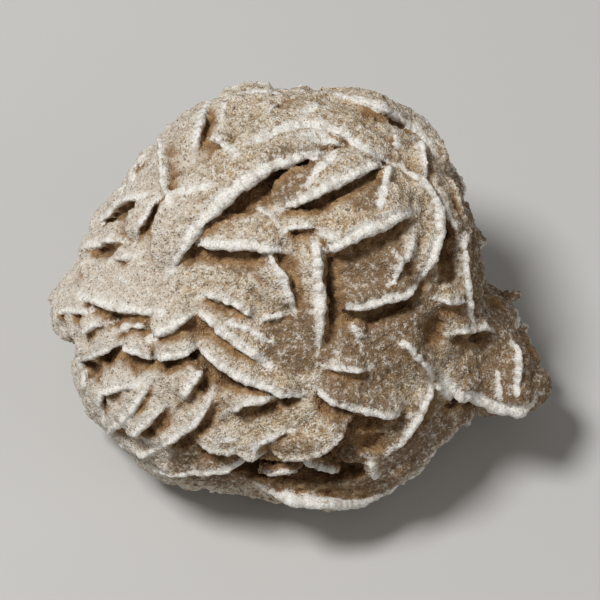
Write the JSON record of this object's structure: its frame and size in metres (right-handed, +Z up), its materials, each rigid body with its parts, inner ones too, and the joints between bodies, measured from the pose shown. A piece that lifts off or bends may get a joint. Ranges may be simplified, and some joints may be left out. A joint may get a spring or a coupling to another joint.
{
  "type": "gypsum sand rose",
  "caption": "Free-standing cluster of sandy gypsum blades grown through each other like petals, resting on a flat worn foot.",
  "frame": {"origin": "in the flat worn foot that the rose rests on, below the middle of the cluster", "axes": "+Z up; +X along the longest extent, from the blunt side towards the side lobe; the show face looks up and towards -Y"},
  "size_m": [0.076, 0.0624, 0.0483],
  "materials": {
    "sandy_gypsum": "matte, sandy, with chalky white blade rims"
  },
  "bodies": {
    "root": {"sand_rose": "sandy_gypsum"}
  },
  "joints": []
}
